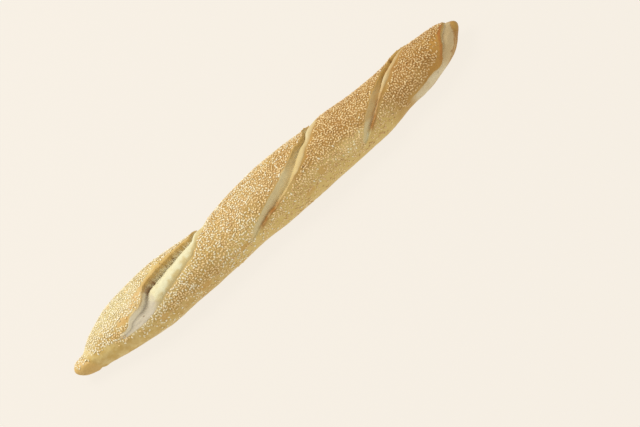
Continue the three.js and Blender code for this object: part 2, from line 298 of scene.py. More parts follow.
GOLDEN = srgb(206, 174, 98)
GOLDEN_PALE = srgb(224, 200, 134)
PALE_TOP = srgb(224, 216, 172)
TOASTED = srgb(190, 148, 76)
TOASTED_DEEP = srgb(170, 123, 54)
BETWEEN_SEEDS = srgb(186, 152, 82)
BETWEEN_TOASTED = srgb(163, 115, 51)
SMOOTH_GOLD = srgb(204, 158, 82)
LIP_BROWN = srgb(166, 112, 46)
CAP_GOLD = srgb(196, 147, 68)
CAP_BROWN = srgb(178, 114, 50)
LOW_GOLD = srgb(224, 197, 122)
PALE_BETWEEN = srgb(199, 186, 128)
NOSE = srgb(212, 174, 104)
UNDERSIDE = srgb(204, 168, 100)
RIM = srgb(197, 160, 86)
RIDGE = srgb(227, 222, 184)
RIDGE_GOLD = srgb(204, 179, 112)
RIDGE_BAKED = srgb(215, 188, 134)
SLOPE = srgb(222, 206, 158)
SLOPE_BAKED = srgb(204, 168, 106)
CRUMB = srgb(230, 218, 178)
CRUMB_DARK = srgb(174, 150, 110)
FLOUR = srgb(200, 190, 168)
# Painted light: a paler flour colour for the far wall under the wide cut's lip, which lies in
# shade
FLOUR_PAINTED_LIGHT = srgb(238, 228, 198)
PALE_END = srgb(224, 210, 174)
PALE_END_TAN = srgb(206, 178, 126)
END_BROWN = srgb(188, 142, 80)
MARK_ORANGE = srgb(206, 146, 70)
MARK_DARK = srgb(92, 58, 28)
THREAD = srgb(248, 238, 210)
SEED_COLOURS = {
    "seeds_pale": (srgb(249, 239, 210), srgb(234, 218, 172)),
    "seeds_golden": (srgb(246, 220, 166), srgb(226, 192, 130)),
    # the darkest seeds, from toast and from the painted shade on the near side
    "seeds_toasted_and_shaded": (srgb(236, 206, 152), srgb(208, 168, 106)),
}

# The studio

FLOOR_HALF = 6000.0
FLOOR_GLOW = srgb(245, 238, 227)
FLOOR_STRENGTH = 0.96
FLOOR_COLOUR = srgb(60, 57, 54)
SKY_COLOUR = srgb(252, 248, 242)
SKY_STRENGTH = 0.55

# Name, place, width, power and colour of each light, all of them turned to the loaf
LIGHTS = (
    ("key", (-0.7, 0.8, 1.5), 1.0, 26.0, (1.0, 0.98, 0.94)),
    ("fill", (0.5, -1.4, 1.3), 1.8, 5.0, (1.0, 0.99, 0.97)),
)


# ---------------------------------------------------------------- curves and noise


def mix(a, b, share):
    return a + (b - a) * share


def clamp(value):
    return np.clip(value, 0.0, 1.0)


def smoothstep(low, high, value):
    share = clamp((value - low) / (high - low))
    return share * share * (3 - 2 * share)


def along(rows, x, column):
    """A smooth curve through one column of a table whose first column is x."""
    table = np.asarray(rows, float)
    xs, ys = table[:, 0], table[:, column]
    ahead = np.append(np.arange(1, len(xs)), len(xs) - 1)
    behind = np.append(0, np.arange(len(xs) - 1))
    slopes = (ys[ahead] - ys[behind]) / (xs[ahead] - xs[behind])
    i = np.clip(np.searchsorted(xs, x) - 1, 0, len(xs) - 2)
    span = xs[i + 1] - xs[i]
    t = clamp((x - xs[i]) / span)
    start = (2 * t**3 - 3 * t**2 + 1) * ys[i]
    end = (3 * t**2 - 2 * t**3) * ys[i + 1]
    leaving = (t**3 - 2 * t**2 + t) * span * slopes[i]
    arriving = (t**3 - t**2) * span * slopes[i + 1]
    return start + end + leaving + arriving


def noise(points, size, seed):
    """Smooth random values from -1 to 1 at the points, with lumps of the given size."""
    scaled = points / size
    cell = np.floor(scaled).astype(np.int64)
    share = scaled - cell
    share = share * share * (3 - 2 * share)
    total = np.zeros(points.shape[:-1])
    for corner in np.ndindex(2, 2, 2):
        key = (cell + corner) * (73856093, 19349663, 83492791)
        code = key[..., 0] ^ key[..., 1] ^ key[..., 2] ^ (seed * 2654435761)
        code = ((code ^ (code >> 13)) * 1274126177) & 0xFFFFFFFF
        code = ((code ^ (code >> 15)) * 668265263) & 0xFFFFFFFF
        value = (code >> 8) / 8388607.5 - 1.0
        weights = np.where(corner, share, 1 - share)
        total += value * weights.prod(axis=-1)
    return total


def round_skin(angle):
    """Distance round the loaf's skin over an angle."""
    return np.radians(angle) * GIRTH_RADIUS


def loaf_spot(x, angle):
    """Places along and round the loaf in millimetres, for noise that follows its skin."""
    return np.stack([x, round_skin(angle), np.zeros_like(x)], axis=-1)


def stretch(x, ends):
    """1 along a stretch of x that starts between the first two ends and stops in the last two."""
    start, full, last, gone = ends
    return smoothstep(start, full, x) * smoothstep(gone, last, x)


# ---------------------------------------------------------------- the form of the loaf


def section(x):
    """Half width, middle across and height of the waist of the section at x."""
    from_tip = clamp((LENGTH / 2 - np.abs(x)) / TIP_ROUND)
    cap = np.sqrt(clamp(1 - (1 - from_tip) ** 2))
    half = along(STATIONS, x, 1)
    curl = clamp((np.abs(x) - LIFT_FROM) / (LENGTH / 2 - LIFT_FROM))
    return half * cap, along(STATIONS, x, 2), TIP_LIFT * curl**2 + WAIST * half


def plain_point(x, angle):
    """Across and up of a point of the plain body, before it was cut."""
    half, middle, waist = section(x)
    across = np.sin(np.radians(angle))
    up = np.cos(np.radians(angle))
    power = 2 / np.where(up > 0, UPPER_POWER, LOWER_POWER)
    rise = np.where(up > 0, CROWN, BELLY) * half
    y = middle + half * np.sign(across) * np.abs(across) ** power
    z = waist + rise * np.sign(up) * np.abs(up) ** power
    return y, z


def girth_radius(x):
    return GIRTH_SHARE * along(STATIONS, x, 1)


def cut_at(cut, x):
    """What a cut is like at x. Its depth is 0 where the cut isn't."""
    path = cut["path"]
    turned = smoothstep(*cut["turn"], x)
    inside = (x > path[0][0]) & (x < path[-1][0])
    depth = np.where(inside, np.maximum(along(path, x, 3), 0), 0)
    share = depth / max(row[3] for row in path)
    rises, risen, falls, fallen = cut["bulge_span"]
    pushed = smoothstep(rises, risen, x) * (1 - smoothstep(falls, fallen, x))
    return {
        "inside": inside,
        "angle": along(path, x, 1),
        "half_width": np.maximum(along(path, x, 2), 0.6),
        "depth": depth,
        "turned": turned,
        "valley": mix(*cut["valley"], turned),
        "far_ear": cut["far_ear"] * share * mix(0.3, 1, turned),
        "near_ear": cut["near_ear"] * share * mix(1, 0.3, turned),
        "bulge": cut["bulge"] * share * pushed,
    }


def across_cut(here, x, angle):
    """How far from the middle of the cut, in half widths: -1 and 1 are its lips."""
    return np.radians(angle - here["angle"]) * girth_radius(x) / here["half_width"]


def wall_height(here, place):
    """Height of the surface inside a cut, steep under the lip that lifted."""
    far = clamp((place - here["valley"]) / (1 - here["valley"]))
    near = clamp((here["valley"] - place) / (1 + here["valley"]))
    far_climb = far ** mix(0.9, 2.2, here["turned"])
    near_climb = near ** mix(1.8, 0.55, here["turned"])
    swell = here["bulge"] * np.sin(np.pi * near) ** 0.8
    far_side = here["depth"] * (far_climb - 1) + here["far_ear"] * far_climb**3
    near_side = here["depth"] * (near_climb - 1) + here["near_ear"] * near_climb**3 + swell
    return np.where(place > here["valley"], far_side, near_side)


def torn(x, angle):
    """How far the torn lips wander, in millimetres round the girth."""
    spot = loaf_spot(x, angle)
    return 0.8 * noise(spot, 9.0, 11) + 0.45 * noise(spot, 3.2, 12)


def relief(x, angle, wander):
    """How far out and how far round the cuts and lumps move the surface."""
    out = np.zeros_like(x)
    around = np.zeros_like(x)
    for cut in CUTS:
        here = cut_at(cut, x)
        place = across_cut(here, x, angle) + wander / here["half_width"]
        outside = (np.abs(place) - 1) * here["half_width"]
        ear = np.where(place > 0, here["far_ear"], here["near_ear"])
        beside = ear * np.exp(-np.maximum(outside, 0) / EAR_REACH)
        height = np.where(outside < 0, wall_height(here, place), beside)
        out += np.where(here["inside"], height, 0)
        to_far = (place - 1) * here["half_width"] / LIP_ROUND
        to_near = (place + 1) * here["half_width"] / LIP_ROUND
        lean = LEAN_OUT * here["near_ear"] * np.exp(-(to_near**2))
        lean -= LEAN_IN * here["far_ear"] * np.exp(-(to_far**2))
        around += np.where(here["inside"], lean, 0)
    for height, pitch, waves, phase in LUMPS:
        out += height * np.sin(x / pitch + waves * np.radians(angle) + phase)
    return out, around


def directions(x, angle):
    """Unit steps round the girth and out of the plain body, each as (across, up)."""
    nudge = 0.05
    y1, z1 = plain_point(x, angle + nudge)
    y0, z0 = plain_point(x, angle - nudge)
    length = np.hypot(y1 - y0, z1 - z0) + 1e-12
    round_y, round_z = (y1 - y0) / length, (z1 - z0) / length
    return (round_y, round_z), (-round_z, round_y)


def surface(x, angle, extra=0.0, wander=0.0):
    """Points of the finished surface, with an extra height out of it."""
    share = clamp((LENGTH / 2 - np.abs(x)) / TIP_FADE)
    out, around = relief(x, angle, wander)
    (round_y, round_z), (out_y, out_z) = directions(x, angle)
    y, z = plain_point(x, angle)
    y = y + (out_y * (out + extra) + round_y * around) * share
    z = z + (out_z * (out + extra) + round_z * around) * share
    underside = UNDER_RISE * np.maximum(np.abs(x) - FLAT_REACH, 0)
    return np.stack([x, y, np.maximum(z, underside)], axis=-1)


# ---------------------------------------------------------------- where things are on it

# Lower edge of the seeded crust on the near side: x, and the angle below which it thins out
SEED_EDGE = (
    (-270, -20),
    (-244, -30),
    (-228, -40),
    (-205, -52),
    (-190, -62),
    (-165, -70),
    (-60, -72),
    (20, -74),
    (100, -72),
    (150, -64),
    (200, -66),
    (270, -60),
)
FAR_SEED_EDGE = 98.0
STRAY_SEEDS = 0.14  # how thickly stray seeds lie below that edge
THIN_SEEDS = 0.5  # how much thinner the seeds lie in the thin patches

# The left nose is parted from the loaf by a crease, with a fold of smooth crust beside it
CREASE_PLACES = (-245.0, -253.5)  # x of the crease low on the near side, and past the top
CREASE_DEPTH = 0.7
CREASE_WIDTH = 1.6
FOLD_HEIGHT = 0.5
FOLD_OFFSET = 5.0
FOLD_WIDTH = 3.0

# The smooth golden brown cap by the right end: x, angle, half length and half width
CAP_SPOT = (238.5, -35.0, 13.0, 17.0)

# A paler patch of crust under the start of the cut to the right, written in the same way
PALE_SPOT = (106.0, -60.0, 24.0, 10.0)

# Where along x the looks change. A pair is where a thing starts to come in and where it is
# whole, to the left where the first value is the larger. Of four values the last two are
# where it starts to go again and where it is gone.
# where the painted light beside the near lip of the wide cut comes in and goes
PAINTED_LIP_LIGHT_SPAN = (-205, -180, -115, -90)
LOW_SIDE_SPAN = (-90, -50, 140, 175)
FLOUR_WHOLE_FROM = (-205, -190)
FLOUR_UNTIL = (-152, -164)
CRUMB_FROM = (-176, -162)
ALL_GOLDEN_UNTIL = (78, 66)
PALE_TOP_FROM = (-110, -200)
LESS_PALE_FROM = (-205, -235)
TOAST_FROM = (-190, 240)
GLOSSY_FROM = (200, 224)
CAP_EDGE_FROM = (222, 238)
PALE_END_FROM = (176, 190)
TAN_END_FROM = (226, 238)
BROWN_EDGE_FROM = (228, 236)

# Seedless strips above a far lip that differ from the cut's own: their width, and where
NARROW_EDGE = 1.6
NARROW_EDGE_UNTIL = (-164, -152)
BALD_EDGE = 9.0
BALD_SPAN = (208, 224, 243, 249)

# Smooth seedless spots in the crust: x, angle, half length and half width
SMOOTH_SPOTS = (
    (-196.0, -26.0, 7.5, 4.4),
    (-178.5, -14.5, 5.0, 2.2),
    (-173.0, -9.5, 6.0, 3.0),
    (-167.0, -4.0, 6.0, 3.4),
    (-162.0, 0.5, 4.0, 2.4),
    (-159.8, -74.5, 5.5, 5.0),
    (-106.7, -82.0, 7.0, 4.5),
    (39.0, -79.0, 6.0, 4.5),
    (62.0, -60.5, 8.0, 5.0),
    (-52.0, -73.0, 7.0, 3.5),
    (71.5, 0.0, 4.5, 2.6),
)


def smooth_spots(x, angle):
    """Share from 0 to 1 of the smooth seedless spots."""
    share = np.zeros_like(x)
    ragged = 0.35 * noise(loaf_spot(x, angle), 4.0, 42)
    for spot_x, spot_angle, long, wide in SMOOTH_SPOTS:
        across = round_skin(angle - spot_angle) / wide
        away = np.hypot((x - spot_x) / long, across) + ragged
        share = np.maximum(share, smoothstep(1.15, 0.75, away))
    return share


def one_spot(row, x, angle, ragged):
    """Share from 0 to 1 of one large spot with a soft edge."""
    spot_x, spot_angle, long, wide = row
    across = round_skin(angle - spot_angle) / wide
    return smoothstep(1.2, 0.7, np.hypot((x - spot_x) / long, across) + 0.3 * ragged)


def nose_crease(angle):
    """Where the crease that parts the left nose from the loaf lies at an angle."""
    turned = np.where(angle > 180, angle - 360, angle)
    return mix(*CREASE_PLACES, smoothstep(-100, 20, turned))


def seed_density(x, angle):
    """How thickly the crust is seeded, from 0 to 1, apart from the cuts."""
    spot = loaf_spot(x, angle)
    wander = 9.0 * noise(spot, 16.0, 21) + 5.0 * noise(spot, 6.0, 24)
    below = along(SEED_EDGE, x, 1) - angle + wander
    dense = 1 - smoothstep(-4, 12, below)
    stray = STRAY_SEEDS * smoothstep(-225, -170, x) * (1 - smoothstep(14, 34, below))
    beyond = angle - FAR_SEED_EDGE + wander
    density = np.maximum(dense, stray) * (1 - smoothstep(-8, 12, beyond))
    thin = smoothstep(0.25, 0.62, noise(spot, 15.0, 25) + 0.4 * noise(spot, 6.0, 26))
    density = density * (1 - THIN_SEEDS * thin)
    past_crease = x - nose_crease(angle)
    nose = 1 - 0.9 * smoothstep(2.0, -2.0, past_crease)
    fold = smoothstep(-1.0, 1.5, past_crease) * smoothstep(11.0, 7.5, past_crease + 0.12 * wander)
    fold = fold * smoothstep(95, 60, angle)
    end = cut_at(END_CUT, x)
    past_end = smoothstep(252, 256, x) * smoothstep(0.5, -0.5, across_cut(end, x, angle))
    density = density * nose * (1 - 0.97 * fold) * (1 - past_end) * smoothstep(264, 258, x)
    return density * (1 - 0.97 * smooth_spots(x, angle))


def near_cut(cut, x, angle, wander, ragged):
    """What a cut is like at the points, and where they lie across it and past its lips."""
    here = cut_at(cut, x)
    place = across_cut(here, x, angle) + wander / here["half_width"]
    outside = (np.abs(place) - 1) * here["half_width"]
    shown = smoothstep(0.3, 1.2, here["depth"])
    bare = shown * smoothstep(0.4, -0.4, outside)
    if cut is END_CUT:
        frayed = shown * smoothstep(6.0, 1.0, outside + 1.5 * ragged)
        bare = np.where(place < 0, frayed, bare)
    here["place"] = place
    here["outside"] = outside
    here["shown"] = shown
    here["bare"] = bare
    here["past_valley"] = place - here["valley"]
    here["near_wall"] = bare * smoothstep(0.04, -0.04, here["past_valley"])
    return here


def golden_dough(cut, here, x, ragged):
    """Share of the golden dough, low on the near wall and all over it in the middle cut."""
    if cut is END_CUT:
        return np.zeros_like(x)
    golden = here["near_wall"] * smoothstep(-0.35, -0.85, here["place"] + 0.25 * ragged)
    if cut is MIDDLE_CUT:
        all_over = here["near_wall"] * smoothstep(*ALL_GOLDEN_UNTIL, x + 2 * ragged)
        golden = np.maximum(golden, all_over)
    return golden


def far_lip_rim(cut, here):
    """Share of the golden brown rim of the far lip."""
    off_lip = (here["place"] - 0.97) * here["half_width"]
    under, beside = cut["rim_width"]
    rim = np.exp(-((np.minimum(off_lip, 0) / under) ** 2))
    rim = rim * np.exp(-((np.maximum(off_lip, 0) / beside) ** 4))
    return here["shown"] * rim * here["turned"] * (here["place"] > 0)


def browned_near_lip(cut, here, x, patches, ragged):
    """Share of the brown crust along the near lip."""
    outside = here["outside"]
    brown = np.exp(-((np.maximum(outside, 0) / cut["brown_reach"]) ** 2))
    brown = brown * smoothstep(-cut["brown_inside"], 0.2, outside + 0.5 * ragged)
    brown = brown * smoothstep(-0.5, 0.1, patches + 0.5)
    low, high = cut["brown_span"]
    brown = brown * smoothstep(low, low + 12, x)
    brown = brown * mix(0.25, 1, smoothstep(high + 14, high - 6, x))
    return here["shown"] * brown * smoothstep(0.05, -0.35, here["place"])


def seedless_edge(cut, here, x, ragged):
    """Share of the strips beside the lips that have no seeds."""
    near_edge, far_edge = cut["bare_edge"]
    if cut is WIDE_CUT:
        far_edge = mix(NARROW_EDGE, far_edge, smoothstep(*NARROW_EDGE_UNTIL, x))
    if cut is END_CUT:
        far_edge = mix(far_edge, BALD_EDGE, stretch(x, BALD_SPAN))
    edge = np.where(here["place"] < 0, near_edge, far_edge)
    return here["shown"] * smoothstep(1.15, 0.85, (here["outside"] + 0.8 * ragged) / edge)


def wide_cut_shares(here, x, angle, spot, ragged):
    """Shares of the painted light beside the wide cut's near lip, with the pale patch below the
    next cut, and of the torn crumb, the flour and the painted light on the flour of the far wall.
    """
    place, outside = here["place"], here["outside"]
    # Painted light: the crust within 12 mm beside the near lip is made paler, as lit
    painted_lip_light_and_pale_patch = here["shown"] * smoothstep(12.0, 1.0, outside) * (place < 0)
    painted_lip_light_and_pale_patch = painted_lip_light_and_pale_patch * stretch(x, PAINTED_LIP_LIGHT_SPAN)
    pale_spot = one_spot(PALE_SPOT, x, angle, ragged)
    past_valley = here["past_valley"]
    flour = smoothstep(1.5, -0.5, outside) * smoothstep(0.15, 0.5, here["depth"])
    flour = flour * smoothstep(*FLOUR_UNTIL, x + 3 * ragged)
    whole = noise(spot, 5.0, 27) + smoothstep(*FLOUR_WHOLE_FROM, x)
    flour = flour * smoothstep(-0.15, 0.2, whole)
    return {
        # the painted light beside the near lip, joined with the pale patch below the next cut
        "painted_lip_light_and_pale_patch": np.maximum(painted_lip_light_and_pale_patch, 0.8 * pale_spot),
        "crumb": here["bare"] * smoothstep(*CRUMB_FROM, x) * smoothstep(0.0, 0.12, past_valley),
        "flour": flour,
        # painted light: the flour on the far wall under the lip, which lies in shade, is made
        # paler
        "flour_wall_painted_light": flour * smoothstep(0.05, 0.3, past_valley) * (place < 1.05),
    }


def end_cut_shares(here, x, ragged, bald_cap):
    """Shares of the smooth cap beside the cut round the right end, and of its pale dough."""
    place, outside = here["place"], here["outside"]
    cap = (place > 0) * here["shown"] * smoothstep(-0.5, 0.5, outside)
    glossy = cap * smoothstep(12.0, 6.0, outside + 1.5 * ragged) * smoothstep(*GLOSSY_FROM, x)
    cap_edge = cap * smoothstep(6.5, 2.6, outside + ragged) * smoothstep(*CAP_EDGE_FROM, x)
    from_far_lip = (1 - place) * here["half_width"] + 0.8 * ragged
    brown_edge = smoothstep(-1.5, -1.15, place + 0.15 * ragged)
    return {
        "glossy": np.maximum(glossy, 0.9 * bald_cap * (1 - here["bare"])),
        "cap_edge": cap_edge,
        "pale_end": smoothstep(*PALE_END_FROM, x) * smoothstep(1.1, 0.9, place),
        "tan_end": smoothstep(2.4, 4.4, from_far_lip) * smoothstep(*TAN_END_FROM, x),
        "end_edge": mix(1, brown_edge, smoothstep(*BROWN_EDGE_FROM, x)),
    }


def zones(x, angle):
    """Shares from 0 to 1 of each kind of surface at the points."""
    spot = loaf_spot(x, angle)
    wander = torn(x, angle)
    ragged = noise(spot, 3.4, 28)
    patches = noise(spot, 11.0, 29)
    bald_cap = one_spot(CAP_SPOT, x, angle, ragged)
    zone = dict.fromkeys(("bare", "near_wall", "golden", "rim", "browned"), np.zeros_like(x))
    zone["beside"] = 0.94 * bald_cap
    for cut in CUTS:
        here = near_cut(cut, x, angle, wander, ragged)
        shares = {
            "bare": here["bare"],
            "near_wall": here["near_wall"],
            "golden": golden_dough(cut, here, x, ragged),
            "rim": far_lip_rim(cut, here),
            "browned": browned_near_lip(cut, here, x, patches, ragged),
            "beside": seedless_edge(cut, here, x, ragged),
        }
        for name, share in shares.items():
            zone[name] = np.maximum(zone[name], share)
        if cut is WIDE_CUT:
            zone.update(wide_cut_shares(here, x, angle, spot, ragged))
        if cut is END_CUT:
            zone.update(end_cut_shares(here, x, ragged, bald_cap))
    pale_top = smoothstep(*PALE_TOP_FROM, x) * smoothstep(-40, 25, angle)
    toast = smoothstep(*TOAST_FROM, x)
    toast += 0.16 * noise(spot, 34.0, 22) + 0.1 * noise(spot, 9.0, 23)
    zone["pale_top"] = pale_top * mix(1, 0.6, smoothstep(*LESS_PALE_FROM, x))
    zone["low_side"] = smoothstep(-30, -62, angle) * stretch(x, LOW_SIDE_SPAN)
    zone["smooth"] = smooth_spots(x, angle)
    zone["nose"] = smoothstep(1.5, -2.5, x - nose_crease(angle))
    zone["toast"] = clamp(toast)
    return zone


# ---------------------------------------------------------------- meshes


def mesh_object(name, vertices, faces, smooth=True):
    """A piece in metres from arrays of millimetre points and of face corners."""
    mesh = bpy.data.meshes.new(name)
    corners = faces.shape[1]
    mesh.vertices.add(len(vertices))
    mesh.vertices.foreach_set("co", (vertices * MM).astype(np.float32).ravel())
    mesh.loops.add(faces.size)
    mesh.loops.foreach_set("vertex_index", faces.astype(np.int32).ravel())
    mesh.polygons.add(len(faces))
    mesh.polygons.foreach_set("loop_start", np.arange(0, faces.size, corners, dtype=np.int32))
    mesh.update(calc_edges=True)
    mesh.validate()
    mesh.polygons.foreach_set("use_smooth", np.full(len(faces), smooth))
    piece = bpy.data.objects.new(name, mesh)
    bpy.context.scene.collection.objects.link(piece)
    return piece


def add_attribute(piece, name, values):
    attribute = piece.data.attributes.new(name, "FLOAT", "POINT")
    attribute.data.foreach_set("value", np.asarray(values, np.float32).ravel())


def ring_places():
    """Where the rings of points stand along the loaf, closer together at the wide cut."""
    tip = LENGTH / 2
    inner = tip - TIP_STEPS[-1]
    low, high = CLOSE_STRETCH
    stretches = (
        np.arange(-inner + RING_STEP, low, RING_STEP),
        np.arange(low, high, CLOSE_STEP),
        np.arange(high, inner - RING_STEP / 2, RING_STEP),
    )
    left = np.array(TIP_STEPS) - tip
    return np.concatenate([left, *stretches, -left[::-1]])


def ring_angles():
    upper = np.linspace(-UPPER_REACH, UPPER_REACH, UPPER_COLUMNS + 1)
    lower = np.linspace(UPPER_REACH, 360 - UPPER_REACH, LOWER_COLUMNS + 1)
    return np.concatenate([upper, lower[1:-1]])


def skin_faces(rings, columns):
    """Triangles of a tube of rings that closes at a point at each end."""
    ring, column = np.meshgrid(np.arange(rings - 1), np.arange(columns), indexing="ij")
    after = (column + 1) % columns
    a = ring * columns + column
    b = (ring + 1) * columns + column
    c = (ring + 1) * columns + after
    d = ring * columns + after
    sides = np.stack([a, b, c, a, c, d], axis=-1).reshape(-1, 3)
    here = np.arange(columns)
    there = (here + 1) % columns
    left_tip = rings * columns
    left = np.stack([np.full(columns, left_tip), here, there], axis=-1)
    last = (rings - 1) * columns
    right = np.stack([np.full(columns, left_tip + 1), last + there, last + here], axis=-1)
    return np.concatenate([left, sides, right])


def fine_relief(x, angle, zone):
    """Small heights that the solid leaves out: crust wrinkles, crumb, strands and pores."""
    spot = loaf_spot(x, angle)
    crust = 0.17 * noise(spot, 6.0, 31) + 0.07 * noise(spot, 2.4, 32)
    rough = 0.5 * noise(spot, 4.4, 33) + 0.35 * noise(spot, 2.1, 34)
    strands = 0.35 * noise(spot * (1.0, 0.28, 1.0), 1.4, 35)
    pits = 1.3 * smoothstep(0.38, 0.7, noise(spot, 3.0, 38))
    dough = 0.4 * noise(spot, 12.0, 36) + 0.12 * noise(spot, 3.4, 37)
    height = crust * (1 - zone["bare"])
    height += dough * zone["bare"] * (1 - zone["crumb"])
    height += (rough + strands - pits) * zone["crumb"]
    height += 0.25 * noise(spot, 2.2, 39) * zone["flour"]
    past_crease = x - nose_crease(angle)
    height -= CREASE_DEPTH * np.exp(-((past_crease / CREASE_WIDTH) ** 2))
    fold = np.exp(-(((past_crease - FOLD_OFFSET) / FOLD_WIDTH) ** 2))
    height += FOLD_HEIGHT * fold * (1 - zone["bare"])
    for mark_x, mark_angle, radius, sunk, _ in MARKS:
        away = np.hypot(x - mark_x, round_skin(angle - mark_angle))
        height -= sunk * np.exp(-((away / radius) ** 2))
    return height


def mark_shares(x, angle):
    """How dark and how orange the crust is at its small baked marks."""
    dark = np.zeros_like(x)
    orange = np.zeros_like(x)
    ragged = 1 + 0.35 * noise(loaf_spot(x, angle), 2.5, 41)
    for mark_x, mark_angle, radius, _, tone in MARKS:
        away = np.hypot(x - mark_x, round_skin(angle - mark_angle))
        share = np.exp(-((away * ragged / radius) ** 4))
        dark = np.maximum(dark, share * tone)
        orange = np.maximum(orange, share * (1 - tone))
    return dark, orange


def make_crust():
    xs, angles = ring_places(), ring_angles()
    x, angle = np.meshgrid(xs, angles, indexing="ij")
    zone = zones(x, angle)
    zone["dark"], zone["orange"] = mark_shares(x, angle)
    zone["seeded"] = seed_density(x, angle) * (1 - zone.pop("beside"))
    turned = np.where(angle > 180, angle - 360, angle)
    zone["below"] = smoothstep(104, 150, np.abs(turned))
    points = surface(x, angle, fine_relief(x, angle, zone), torn(x, angle))
    tips = []
    for tip in (-LENGTH / 2, LENGTH / 2):
        _, middle, waist = section(np.array(tip))
        tips.append((tip, float(middle), float(waist)))
    vertices = np.concatenate([points.reshape(-1, 3), np.array(tips)])
    piece = mesh_object("loaf_crust", vertices, skin_faces(*x.shape))
    for name, values in zone.items():
        add_attribute(piece, name, np.append(values.ravel(), [values[0, 0], values[-1, 0]]))
    print("crust", len(piece.data.polygons), "triangles")
    return piece


# ---------------------------------------------------------------- seeds


def seed_shape():
    """One drop-shaped seed of unit size, pointed at +X, and its triangles."""
    rows = []
    for band in range(1, SEED_BANDS):
        turn = math.pi * band / SEED_BANDS
        for side in range(SEED_SIDES):
            roll = 2 * math.pi * side / SEED_SIDES
            radius = 0.5 * math.sin(turn) * (1 + SEED_TAPER * math.cos(turn))
            rows.append((-0.5 * math.cos(turn), radius * math.cos(roll), radius * math.sin(roll)))
    vertices = np.array([*rows, (-0.5, 0, 0), (0.5, 0, 0)])
    return vertices, skin_faces(SEED_BANDS - 1, SEED_SIDES)


def seed_spots(random):
    """Random spots on the crust, none closer to another than the least gap."""
    x = random.uniform(-LENGTH / 2 + 4, LENGTH / 2 - 5, SEED_TRIES)
    angle = random.uniform(-125, 118, SEED_TRIES)
    zone = zones(x, angle)
    wanted = seed_density(x, angle) * (1 - zone["bare"]) * (1 - zone["beside"])
    chosen = np.flatnonzero(random.uniform(0, 1, SEED_TRIES) < wanted)
    place = surface(x, angle)
    cells = {}
    kept = []
    for i in chosen:
        cell = tuple(np.floor(place[i] / SEED_GAP).astype(int))
        near = (
            cells.get((cell[0] + a, cell[1] + b, cell[2] + c), ())
            for a in (-1, 0, 1)
            for b in (-1, 0, 1)
            for c in (-1, 0, 1)
        )
        if all(np.sum((place[i] - place[j]) ** 2) >= SEED_GAP**2 for group in near for j in group):
            cells.setdefault(cell, []).append(i)
            kept.append(i)
    return x[kept], angle[kept]


def unit(vectors):
    return vectors / np.linalg.norm(vectors, axis=1, keepdims=True)


def seed_frames(x, angle, random):
    """Middle of each seed and the directions of its length, width and thickness."""
    step = 0.6
    forward = surface(x + step, angle) - surface(x - step, angle)
    around = surface(x, angle + step) - surface(x, angle - step)
    out = unit(unit(np.cross(forward, around)) + random.normal(0, SEED_TILT, (len(x), 3)))
    forward = unit(forward - out * np.sum(forward * out, axis=1, keepdims=True))
    side = np.cross(out, forward)
    turn = random.uniform(0, 2 * math.pi, (len(x), 1))
    long = forward * np.cos(turn) + side * np.sin(turn)
    wide = side * np.cos(turn) - forward * np.sin(turn)
    return surface(x, angle) + out * SEED_LIFT, long, wide, out


def make_seeds(random):
    x, angle = seed_spots(random)
    middle, long, wide, out = seed_frames(x, angle, random)
    size = random.normal(1.0, 0.08, (len(x), 1))
    long *= SEED_LENGTH * size * random.normal(1.0, 0.06, (len(x), 1))
    wide *= SEED_WIDTH * size * random.normal(1.0, 0.06, (len(x), 1))
    out *= SEED_THICKNESS * size
    tone = random.uniform(0, 1, len(x))
    zone = zones(x, angle)
    # Toast, with painted shade added towards the near side: seeds there are made more golden
    toast_and_painted_shade = zone["toast"] + SEED_PAINTED_SHADE * smoothstep(10, -70, angle) * (1 - zone["painted_lip_light_and_pale_patch"])
    toast_and_painted_shade += random.normal(0, 0.2, len(x)) - LOW_PALENESS * zone["low_side"]
    kinds = {
        "seeds_pale": toast_and_painted_shade < 0.4,
        "seeds_golden": (toast_and_painted_shade >= 0.4) & (toast_and_painted_shade < 0.85),
        "seeds_toasted_and_shaded": toast_and_painted_shade >= 0.85,
    }
    shape, faces = seed_shape()
    pieces = []
    for name, mask in kinds.items():
        points = middle[mask][:, None, :] + sum(
            shape[None, :, i, None] * axis[mask][:, None, :]
            for i, axis in enumerate((long, wide, out))
        )
        offsets = (np.arange(mask.sum()) * len(shape))[:, None, None]
        triangles = (faces[None] + offsets).reshape(-1, 3)
        piece = mesh_object(name, points.reshape(-1, 3), triangles)
        add_attribute(piece, "tone", np.repeat(tone[mask], len(shape)))
        pieces.append(piece)
        print(name, mask.sum(), "seeds", len(triangles), "triangles")
    return pieces


# ---------------------------------------------------------------- torn threads


def thread_tubes(starts, along_out, bends, lengths, widths):
    """Thin bent three-sided tubes that end in points."""
    vertices, faces = [], []
    steps = np.linspace(0, 1, THREAD_STEPS)
    for start, way, bend, length, width in zip(starts, along_out, bends, lengths, widths):
        first = len(vertices)
        line = start + length * (steps[:, None] * way + (steps[:, None] ** 2) * bend)
        side = np.cross(way, bend)
        side /= np.linalg.norm(side) + 1e-9
        third = np.cross(way, side)
        for point, step in zip(line, steps):
            radius = width * (1 - step) ** 0.6
            for turn in np.radians((90, 210, 330)):
                vertices.append(point + radius * (np.cos(turn) * side + np.sin(turn) * third))
        for ring in range(THREAD_STEPS - 1):
            for corner in range(3):
                a = first + 3 * ring + corner
                b = first + 3 * ring + (corner + 1) % 3
                faces += [(a, b, b + 3), (a, b + 3, a + 3)]
    return np.array(vertices), np.array(faces)


